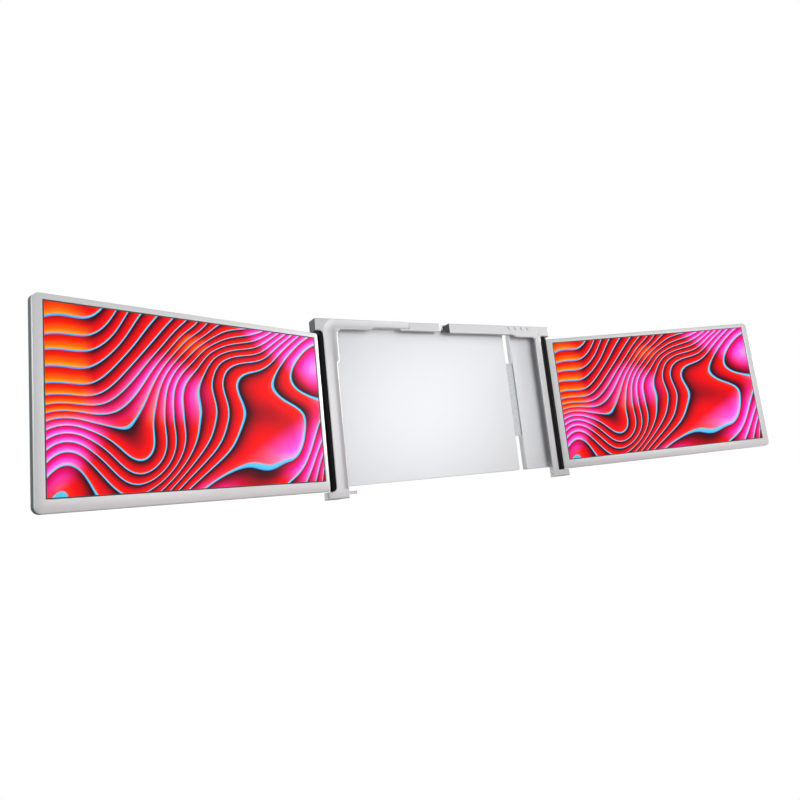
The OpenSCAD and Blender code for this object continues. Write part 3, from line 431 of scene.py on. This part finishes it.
for colour, where, size, start, end in (("pink", flat_uv, PINK_SIZE, PINK_FROM, PINK_TO),
                                        ("orange", bent_uv, ORANGE_SIZE, ORANGE_FROM, ORANGE_TO)):
    patch = add_node(tree, "ShaderNodeTexNoise", {0: where}, noise_dimensions="2D", Scale=1 / size,
                     Detail=0.0)
    share = add_node(tree, "ShaderNodeMapRange", {0: patch.outputs["Fac"]}, interpolation_type="SMOOTHSTEP",
                     From_Min=start, From_Max=end)
    mix = add_node(tree, "ShaderNodeMix", {"Factor": share.outputs[0], MIX_A: picture,
                                           MIX_B: waves[colour]}, data_type="RGBA")
    picture = mix.outputs[MIX_OUT]
glass = add_node(tree, "ShaderNodeBsdfPrincipled", {"Emission Color": picture, "Base Color": picture},
                 Roughness=0.4, Emission_Strength=0.35, Specular_IOR_Level=0.08)
add_node(tree, "ShaderNodeOutputMaterial", {"Surface": glass.outputs[0]})

for side, screen in screens.items():
    lo, hi = screen.box(side + "_display_panel")
    strip_lo, strip_hi = screen.box(side + "_gasket")
    glass_lo, glass_hi = strip_lo + STRIP_WIDTH, strip_hi - STRIP_WIDTH
    step = screen.box(side + "_bezel")[1][1]
    loops = [screen.loop(lo, hi, WINDOW_RS, 0.0, hi[1]), screen.loop(lo, hi, WINDOW_RS, 0.0, step),
             screen.loop(glass_lo, glass_hi, WINDOW_RS, 0.0, step),
             screen.loop(glass_lo, glass_hi, WINDOW_RS, 0.0, lo[1] + GLASS_CHAMFER),
             screen.loop(glass_lo, glass_hi, WINDOW_RS, GLASS_CHAMFER, lo[1])]
    panel = loft(side + "_display_module", loops, False, screen.place)
    # Along runs from the hinge, so on the left screen the picture's u is counted from the far end.
    own = np.concatenate(loops)
    across = glass_hi[0] - own[:, 0] if side == "left" else own[:, 0] - glass_lo[0]
    uv = np.stack([across, own[:, 2] - glass_lo[2]], 1) / (glass_hi[2] - glass_lo[2])
    corners = np.zeros(len(panel.data.loops), int)
    panel.data.loops.foreach_get("vertex_index", corners)
    panel.data.uv_layers.new(name="picture").data.foreach_set("uv", uv[corners].ravel())
    stand_in(panel, side + "_display_panel", module_tin, lit_picture)
    front_cap = panel.data.polygons[-1]
    front_cap.material_index = 1


# ---- The rear covers ----
# Each screen's back is a shallow tray pressed from aluminium sheet, fine-blasted and anodised
# dark. Six screws from behind draw it to the bezel.
def finish_nodes(material, *nodes):
    """Gives solids that are already right a material of their own."""
    for node in nodes:
        mesh = frame["nodes"][node].data
        mesh.materials.clear()
        mesh.materials.append(material)


# Blast pits of about 0.1 mm, drawn at 0.4 mm to show, under a dark anodised skin: a deep, even satin.
graphite = finish("graphite_anodised_aluminium", ("#4F5A5B", "#5B6667"), size_mm=0.4, roughness=0.5,
                  spread=0.05, bump_mm=0.006, Metallic=0.3, Specular_IOR_Level=0.3)
finish_nodes(graphite, "left_rear_cover", "right_rear_cover")


# ---- Spines ----
# A black moulded barrel beside each screen turns on two steel pins in the frame. Its web runs
# under the screen's edge and holds the hinge brackets. Moulded in a polished tool.

# The polished tool leaves a soft gloss and only flow marks a few millimetres across.
satin_black = finish("satin_black_polycarbonate", ("#060607", "#0A0B0C"), size_mm=3.0, roughness=0.32,
                     spread=0.04, bump_mm=0.002, Specular_IOR_Level=0.12)

MERGE = 1e-5                  # points closer than this are one
FLAT = math.radians(0.5)      # faces that turn less than this are one flat face
SHARP = math.radians(30.0)    # edges that turn more than this are rounded
ROOM_SHARE = 0.42             # of its narrower face, the most that a rounding takes
ROUND_STEPS = 3
BROAD = 0.004                 # square metres from which a flat face with holes needs a strip
STRIP_SHARE = 1.1             # the strip's width, in widths of the rounding


def search_tree(nodes):
    """A tree that finds the nearest point on some of the solids, or what a ray hits."""
    points, faces = [], []
    for node in nodes:
        mesh = frame["nodes"][node].data
        faces += [[len(points) + i for i in face.vertices] for face in mesh.polygons]
        points += [vertex.co.copy() for vertex in mesh.vertices]
    return BVHTree.FromPolygons(points, faces)


whole_object = search_tree(frame["nodes"])


def rejoin(shell):
    """Merges doubles and joins the triangles of each flat face."""
    bmesh.ops.remove_doubles(shell, verts=shell.verts, dist=MERGE)
    bmesh.ops.dissolve_limit(shell, angle_limit=FLAT, verts=shell.verts, edges=shell.edges)
    for elements in (shell.verts, shell.edges, shell.faces):
        elements.ensure_lookup_table()
        elements.index_update()


def evaluated(piece):
    """A piece's mesh with its modifiers applied."""
    graph = bpy.context.evaluated_depsgraph_get()
    graph.update()
    return bpy.data.meshes.new_from_object(piece.evaluated_get(graph))


def room_beside(edge):
    """The distance from an edge's middle, square to it, across the narrower of its two faces."""
    middle = (edge.verts[0].co + edge.verts[1].co) / 2
    least = 1.0
    for loop in edge.link_loops:
        along = (loop.link_loop_next.vert.co - loop.vert.co).normalized()
        inwards = loop.face.normal.cross(along)
        for other in loop.face.edges:
            a, b = (vert.co - middle for vert in other.verts)
            from_a, from_b = a.dot(along), b.dot(along)
            if other != edge and (from_a > 0) != (from_b > 0):
                across = a.dot(inwards) + (b - a).dot(inwards) * from_a / (from_a - from_b)
                least = min(least, across) if across > MERGE else least
    return least


def radius_weight(edge, width):
    """The share of the width that an edge can be rounded by: none where another solid hides it, and
    less where its faces are narrow."""
    if len(edge.link_faces) != 2:
        return 0.0
    outwards = (edge.link_faces[0].normal + edge.link_faces[1].normal).normalized()
    middle = (edge.verts[0].co + edge.verts[1].co) / 2
    if whole_object.ray_cast(middle + outwards * width, outwards)[0] is not None:
        return 0.0
    return min(1.0, ROOM_SHARE * room_beside(edge) / width)


def strip_round_holes(shell, strip):
    """Runs a narrow strip along the outline and the holes of each broad flat face that has holes, so
    that the edges that join a hole to the outline end clear of the rounding."""
    seen = set()
    for first in list(shell.faces):
        if first not in seen:
            seen.add(first)
            run, reached = [first], [first]
            while reached:
                for edge in reached.pop().edges:
                    for other in edge.link_faces:
                        if other not in seen and edge.calc_face_angle(math.pi) < FLAT:
                            seen.add(other)
                            run.append(other)
                            reached.append(other)
            if len(run) > 1 and sum(face.calc_area() for face in run) > BROAD:
                bmesh.ops.inset_region(shell, faces=run, thickness=strip, use_even_offset=True)


def softened(node, width, front_radius=None, tints=()):
    """A copy of a node's mesh whose sharp edges a Bevel modifier rounds, after a larger round is cut
    along the front outline. A tint is a test of face middles and normals, and the faces that pass the
    first get the second material, and so on."""
    shell = bmesh.new()
    shell.from_mesh(frame["nodes"][node].data)
    rejoin(shell)
    mesh = bpy.data.meshes.new(node + "_finished")
    piece = bpy.data.objects.new(node + "_finished", mesh)
    scene.collection.objects.link(piece)
    if front_radius:
        cut_front_round(piece, shell, search_tree(n for n in frame["nodes"] if n != node), front_radius)
    middles = np.array([face.calc_center_median() for face in shell.faces]).T
    normals = np.array([face.normal for face in shell.faces]).T
    for index, where in enumerate(tints, 1):
        for face in np.flatnonzero(where(middles, normals)):
            shell.faces[face].material_index = index
    plain = BVHTree.FromBMesh(shell)
    weight = shell.edges.layers.float.new("bevel_weight_edge")
    for edge in shell.edges:
        edge[weight] = radius_weight(edge, width) if edge.calc_face_angle(math.pi) > SHARP else 0.0
    strip_round_holes(shell, STRIP_SHARE * width)
    for edge in shell.edges:
        if edge.calc_face_angle(math.pi) < SHARP:
            edge[weight] = 0.0
    shell.to_mesh(mesh)
    shell.free()
    mesh.shade_smooth()
    mesh.set_sharp_from_angle(angle=SHARP)
    bevel = piece.modifiers.new("edge_radius", "BEVEL")
    bevel.width, bevel.segments = width, ROUND_STEPS
    bevel.limit_method = "WEIGHT"
    bevel.use_clamp_overlap = False
    piece.data = evaluated(piece)
    piece.modifiers.clear()
    # Where edges meet at a low angle the rounding can throw a vertex far out; it goes back.
    for vertex in piece.data.vertices:
        near, _, _, away = plain.find_nearest(vertex.co)
        if away > width:
            vertex.co = near
    piece.modifiers.new("flat_faces_stay_flat", "WEIGHTED_NORMAL").keep_sharp = True
    return piece


for side in screens:
    stand_in(softened(side + "_spine", 0.0003), side + "_spine", satin_black)


# ---- Steel and brass parts ----
# Hinge pins are ground rod, brackets, tongue plate and socket shells are pressed strip, and the
# screws are cold-headed with a cross recess, all of plain bright steel. The friction washers are
# stamped from brass strip.

# Grinding lines about 0.05 mm apart, drawn at 0.3 mm and 20 times as long, streak the shine.
ground_steel = finish("ground_steel", ("#9DA0A3", "#B2B5B7"), size_mm=0.3, stretch=(1.0, 1.0, 20.0),
                      roughness=0.3, spread=0.06, bump_mm=0.002, Metallic=1.0)
finish_nodes(ground_steel, "left_hinge_pins", "right_hinge_pins", "left_hinge_brackets",
             "right_hinge_brackets", "left_screen_screws", "right_screen_screws", "back_cover_screws",
             "right_back_screws", "kickstand_pins", "tongue_plate", "usb_c_ports")

# Rolled strip, a little tarnished in patches of about a millimetre.
washer_brass = finish("stamped_brass", ("#A8853F", "#BC9A55"), size_mm=0.8, roughness=0.35, spread=0.08,
                      bump_mm=0.003, Metallic=1.0)
finish_nodes(washer_brass, "left_hinge_washers", "right_hinge_washers")


# ---- Boards and light guides inside ----
# Two glass-fibre driver boards, the main board and the button board under green solder mask, and
# a white acrylic light guide behind each display.

# Solder mask lies in a half-gloss film over copper tracks a millimetre or so apart.
solder_mask = finish("green_solder_mask", ("#14502F", "#1C6640"), size_mm=1.2, roughness=0.35,
                     spread=0.08, bump_mm=0.01)
finish_nodes(solder_mask, "left_driver_board", "right_driver_board", "main_board", "button_board")

# Cast sheet with printed white dots 2 mm apart: glossy, with a faint unevenness.
acrylic = finish("white_acrylic_light_guide", ("#F0F0EA", "#F7F7F3"), size_mm=2.0, roughness=0.3,
                 spread=0.05, bump_mm=0.002)
finish_nodes(acrylic, "left_backlight", "right_backlight")


# ---- The frame's mouldings ----
# The left half is one moulding, the right half a sleeve, an end cap and a column, and lip, clips
# and back covers fit on them. All are ABS in the bezels' satin silver. The hinge pockets are
# coloured near-black as painted shade, and the end face of each overhang a dull grey as painted shade.

# Painted shade in the hinge pockets, where the overhang shades them: near-black, with a noise grain
# drawn at 0.6 mm.
pocket_painted_shade = finish("painted_shade_in_pockets", ("#0B0B0C", "#101011"), size_mm=0.6, roughness=0.6,
                      spread=0.06, bump_mm=0.01, Specular_IOR_Level=0.15)

# Painted shade on the overhangs' end faces, which turn away from the light: a dull grey, with a
# noise grain drawn at 0.5 mm.
overhang_end_shade = finish("painted_shade_on_overhang_ends", ("#4A4B4E", "#5A5B5E"), size_mm=0.5, roughness=0.6,
                   spread=0.06, bump_mm=0.015, Specular_IOR_Level=0.2)

FRONT_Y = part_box("left_frame")[0].y
RELIEF = 0.0013         # how far back a dished face may reach and still be the front
FRONT_RADIUS = 0.0014
SEAM = 0.00015          # the widest joint between two mouldings
SMALL_OPENING = 0.03    # the longest outline that stays sharp
LEDGE = 0.0008          # of the right column, between back cover and pocket
HAIR = 0.0001

# The pockets reach from washer to washer and outwards from the ledge, and the overhangs end
# where the end cap does. A hair more takes in the faces that lie exactly there.
washers_lo, washers_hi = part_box("left_hinge_washers")
POCKET_FLOOR, POCKET_ROOF = washers_lo.z - HAIR, washers_hi.z + HAIR
POCKET_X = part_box("right_back_cover")[1].x + LEDGE - HAIR
OVERHANG_END_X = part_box("right_end_cap")[1].x - HAIR

# The share of a face's normal that lies along an axis: hardly any, half, the most, nearly all.
HARDLY, HALF, MOSTLY, NEARLY = 0.1, 0.5, 0.7, 0.9


def front_edges(shell, others, radius):
    """The edges between the front, dished or flat, and the walls: for each end, the other end and the
    wall's outward direction. Edges that lie against another piece are left out."""
    front = {face for face in shell.faces
             if face.normal.y < -MOSTLY and max(vert.co.y for vert in face.verts) < FRONT_Y + RELIEF}
    links = {}
    for edge in shell.edges:
        walls = [face for face in edge.link_faces if face not in front and abs(face.normal.y) < HARDLY]
        if len(edge.link_faces) != 2 or len(walls) != 1 or not front.intersection(edge.link_faces):
            continue
        outwards = walls[0].normal.copy()
        middle = (edge.verts[0].co + edge.verts[1].co) / 2
        beside = middle + outwards * SEAM / 2 + Vector((0, radius / 2, 0))
        if others.find_nearest(beside)[3] > SEAM:
            for vert in edge.verts:
                links.setdefault(vert, []).append((edge.other_vert(vert), outwards))
    return links


def chains_of(links):
    """Joins edges end to end: gives points, outward directions, and whether the chain closes."""
    waiting = sorted(links, key=lambda vert: (len(links[vert]), vert.index))
    seen = set()
    for start in waiting:
        path, outwards, following = [start], [], links[start][:1]
        while start not in seen and following:
            vert, direction = following[0]
            outwards.append(direction)
            if vert == start:
                break
            path.append(vert)
            following = [link for link in links[vert] if link[0] != path[-2]]
        if len(path) > 1 and start not in seen:
            yield np.array([vert.co for vert in path]), np.array(outwards), len(outwards) == len(path)
        seen.update(path)


def groove(points, outwards, closed, radius, steps=6):
    """A bar along an outline, whose section is the corner of a square less a quarter circle: inset
    r (1 - sin t), depth r (1 - cos t). Its corners are mitred by (a + b) / (1 + a . b)."""
    turn = np.linspace(0.0, math.pi / 2, steps)
    over = radius / 3
    inset = np.concatenate([radius * (1 - np.sin(turn)), [-over, -over, radius]])
    depth = np.concatenate([radius * (1 - np.cos(turn)), [radius, -over, -over]])
    before = np.roll(outwards, 1, axis=0) if closed else np.concatenate([outwards[:1], outwards])
    after = outwards if closed else np.concatenate([outwards, outwards[-1:]])
    mitre = (before + after) / (1 + (before * after).sum(1, keepdims=True))
    if not closed:
        ends = np.array([points[0] - points[1], points[-1] - points[-2]])
        points[[0, -1]] += 2 * MERGE * ends / np.linalg.norm(ends, axis=1, keepdims=True)
    return (points[:, None] - mitre[:, None] * inset[None, :, None]
            + np.array([0.0, 1.0, 0.0]) * depth[None, :, None])


def cut_front_round(piece, shell, others, radius):
    """Cuts a quarter round along the front outline of a moulding, small openings apart."""
    cutter = bmesh.new()
    for points, outwards, closed in chains_of(front_edges(shell, others, radius)):
        if np.linalg.norm(np.diff(points, axis=0), axis=1).sum() > SMALL_OPENING:
            bar = loft("groove", groove(points, outwards, closed, radius), closed)
            cutter.from_mesh(bar.data)
            bpy.data.objects.remove(bar)
    bars = bpy.data.objects.new("grooves", bpy.data.meshes.new("grooves"))
    cutter.to_mesh(bars.data)
    cutter.free()
    shell.to_mesh(piece.data)
    cut = piece.modifiers.new("front_radius", "BOOLEAN")
    cut.operation, cut.solver, cut.object = "DIFFERENCE", "EXACT", bars
    scene.collection.objects.link(bars)
    shell.clear()
    shell.from_mesh(evaluated(piece))
    piece.modifiers.clear()
    bpy.data.objects.remove(bars)
    rejoin(shell)


# The faces found here get the near-black painted shade.
def in_pocket(at, normal):
    """Faces of the hinge pockets: floor, roof and side wall, but not the front plane or the ends."""
    inside = (np.abs(at[0]) > POCKET_X) & (at[2] > POCKET_FLOOR) & (at[2] < POCKET_ROOF)
    faced_out = normal[0] * np.sign(at[0]) > HALF
    flat = (np.abs(normal[2]) > HARDLY) | (normal[1] < -NEARLY)
    return inside & (at[1] > FRONT_Y + FRONT_RADIUS / 2) & (faced_out | flat & (at[1] > FRONT_Y + RELIEF))


def on_overhang_end(at, normal):
    """The end faces of the two overhangs, which get a dull grey painted shade."""
    return (np.abs(at[0]) > OVERHANG_END_X) & (np.abs(normal[0]) > NEARLY) & (at[2] > POCKET_ROOF)


for node, radius, front_radius in (("left_frame", 0.0003, FRONT_RADIUS),
                                   ("rail_lip", 0.0003, FRONT_RADIUS),
                                   ("right_sleeve", 0.0003, FRONT_RADIUS),
                                   ("right_end_cap", 0.0003, FRONT_RADIUS),
                                   ("right_column", 0.0003, FRONT_RADIUS),
                                   ("back_cover", 0.0005, None),
                                   ("right_back_cover", 0.0005, None),
                                   ("left_clip", 0.0002, None),
                                   ("right_clip", 0.0002, None)):
    piece = softened(node, radius, front_radius, (in_pocket, on_overhang_end))
    stand_in(piece, node, silver_paint, pocket_painted_shade, overhang_end_shade)
finish_nodes(silver_paint, "left_bar_cover")


# ---- Rail, seat plates and kickstand ----
# The rail is an extruded tube, and the seat plates and the kickstand are pressed sheet, all of
# aluminium, fine-blasted and clear anodised.

# Blast pits of about 0.1 mm, drawn at 0.4 mm to show, give a cool, even satin.
anodised = finish("blasted_anodised_aluminium", ("#C9CBCE", "#D4D6D8"), size_mm=0.4, roughness=0.42,
                  spread=0.05, bump_mm=0.006, Metallic=0.6)

for node, radius in (("top_rail", 0.0004), ("seat_plate", 0.0003), ("right_seat_plate", 0.0003),
                     ("kickstand", 0.0005)):
    stand_in(softened(node, radius), node, anodised)


# ---- Dark plastic ----
# The sleeve's collar, the slider on the rail and the buttons are dark grey moulded nylon. The
# indicator windows are smoked polycarbonate, pressed in flush.

# A spark-eroded grain of about 0.1 mm, drawn at 0.5 mm to show, keeps the nylon dull.
dark_nylon = finish("dark_grained_nylon", ("#3C3D40", "#4C4D50"), size_mm=0.5, roughness=0.55,
                    spread=0.06, bump_mm=0.02)

for node, radius in (("sleeve_collar", 0.0003), ("rail_slider", 0.0002), ("power_button", 0.0003),
                     ("plus_button", 0.0003), ("minus_button", 0.0003)):
    stand_in(softened(node, radius), node, dark_nylon)

# Moulded in a polished tool: shiny, with a faint waviness of about a millimetre.
smoked = finish("smoked_window", ("#77797C", "#838588"), size_mm=1.0, roughness=0.25, spread=0.03,
                bump_mm=0.002)
stand_in(softened("indicator_windows", 0.0002), "indicator_windows", smoked)


# ---- Rubber ----
# Strips behind the lips and on the clips keep the lid from scratching, and two strips stop the
# kickstand from sliding. Moulded silicone rubber, glued into its grooves.

# A dusty bloom in patches of about 0.7 mm greys the black and leaves no gloss.
rubber = finish("black_silicone_rubber", ("#161617", "#202022"), size_mm=0.7, roughness=0.75,
                spread=0.08, bump_mm=0.02)

for node in ("left_lip_pad", "right_lip_pad", "kickstand_foot", "left_clip_pad", "right_clip_pad"):
    stand_in(softened(node, 0.0002), node, rubber)
